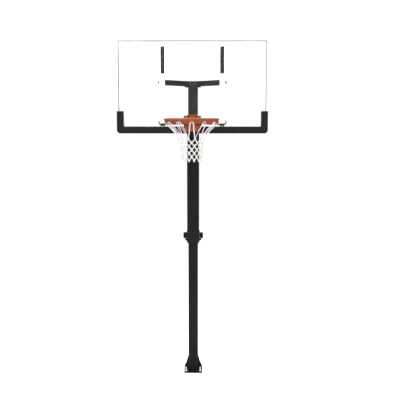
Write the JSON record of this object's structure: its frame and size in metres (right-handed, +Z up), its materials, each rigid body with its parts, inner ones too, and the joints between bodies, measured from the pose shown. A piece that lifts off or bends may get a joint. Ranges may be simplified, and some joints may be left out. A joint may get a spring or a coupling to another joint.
{
  "type": "bolt-down basketball hoop",
  "caption": "Bolt-down basketball hoop: square telescoping pole with a clamped height sleeve, framed glass backboard, sprung breakaway ring and cord net.",
  "frame": {"origin": "on the ground, at the centre of the anchor stud pattern, in the plane of the anchor plate's underside", "axes": "+Z up along the pole, the board and the ring face -Y, +X to the right of someone facing the board"},
  "size_m": [1.405, 1.1786, 3.448],
  "materials": {
    "black_powder_coat": "fine-textured satin powder coat",
    "zinc_plate": "bright zinc plate",
    "black_zinc": "black zinc plate",
    "spring_steel": "oiled spring steel",
    "nylon": "natural nylon",
    "black_plastic": "fine-textured moulded plastic",
    "pad_rubber": "matte moulded foam rubber skin",
    "bush_rubber": "matte",
    "tempered_glass": "clear polished",
    "white_print": "opaque ceramic ink",
    "trim_aluminium": "satin anodised",
    "orange_powder_coat": "satin powder coat",
    "net_cord": "braided all-weather cord"
  },
  "bodies": {
    "anchored_pole": {"anchor_studs": "zinc_plate", "anchor_washers": "zinc_plate", "anchor_nuts": "zinc_plate", "anchor_plate": "black_powder_coat", "plate_gussets": "black_powder_coat", "lower_pole": "black_powder_coat", "upper_glide": "nylon", "strut_cylinder": "zinc_plate", "strut_pin": "zinc_plate"},
    "head": {"sleeve": "black_powder_coat", "collar": "black_plastic", "collar_liner": "nylon", "clamp_inserts": "zinc_plate", "clamp_pads": "nylon", "strut_rod": "zinc_plate", "top_pole": "black_powder_coat", "top_pole_plug": "nylon", "sleeve_reducer": "black_plastic", "top_cap": "black_plastic", "upper_pole_bracket": "black_powder_coat", "lower_pole_bracket": "black_powder_coat", "bracket_straps": "black_powder_coat", "bracket_bolts": "black_zinc", "upper_left_arm": "black_powder_coat", "upper_right_arm": "black_powder_coat", "lower_left_arm": "black_powder_coat", "lower_right_arm": "black_powder_coat", "arm_bolts": "black_zinc", "left_upright": "black_powder_coat", "right_upright": "black_powder_coat", "upright_bolts": "black_zinc", "cross_channel": "black_powder_coat", "board_frame": "black_powder_coat", "glass_board": "tempered_glass", "glass_bushes": "bush_rubber", "board_print": "white_print", "edge_trim": "trim_aluminium", "left_pad": "pad_rubber", "right_pad": "pad_rubber", "pad_screws": "zinc_plate", "rim_standoff": "black_powder_coat", "rim_mount_plate": "orange_powder_coat", "rim_bolts": "black_zinc", "hinge_pin": "zinc_plate", "spring_bolts": "zinc_plate", "rim_springs": "spring_steel"},
    "left_clamp": {"left_clamp_screw": "zinc_plate", "left_knob": "black_plastic"},
    "right_clamp": {"right_clamp_screw": "zinc_plate", "right_knob": "black_plastic"},
    "rim": {"rim_carrier": "orange_powder_coat", "rim_ring": "orange_powder_coat", "rim_brace": "orange_powder_coat", "net_hooks": "orange_powder_coat", "spring_cover": "orange_powder_coat", "cover_screws": "zinc_plate", "net": "net_cord"}
  },
  "joints": [
    {"name": "height_slide", "type": "slide", "parent": "anchored_pole", "child": "head", "axis": [0, 0, 1], "range_m": [-0.3048, 0.4572]},
    {"name": "left_clamp_turn", "type": "hinge", "parent": "head", "child": "left_clamp", "pos_m": [-0.08, 0, 1.409], "axis": [-1, 0, 0], "range_deg": [0, 270]},
    {"name": "right_clamp_turn", "type": "hinge", "parent": "head", "child": "right_clamp", "pos_m": [0.08, 0, 1.409], "axis": [1, 0, 0], "range_deg": [0, 270]},
    {"name": "rim_breakaway", "type": "hinge", "parent": "head", "child": "rim", "pos_m": [0, -0.505, 2.582], "axis": [1, 0, 0], "range_deg": [0, 15], "stiffness_Nm_per_rad": 600, "springref_deg": -22.92, "deforming": ["rim_springs"]}
  ]
}
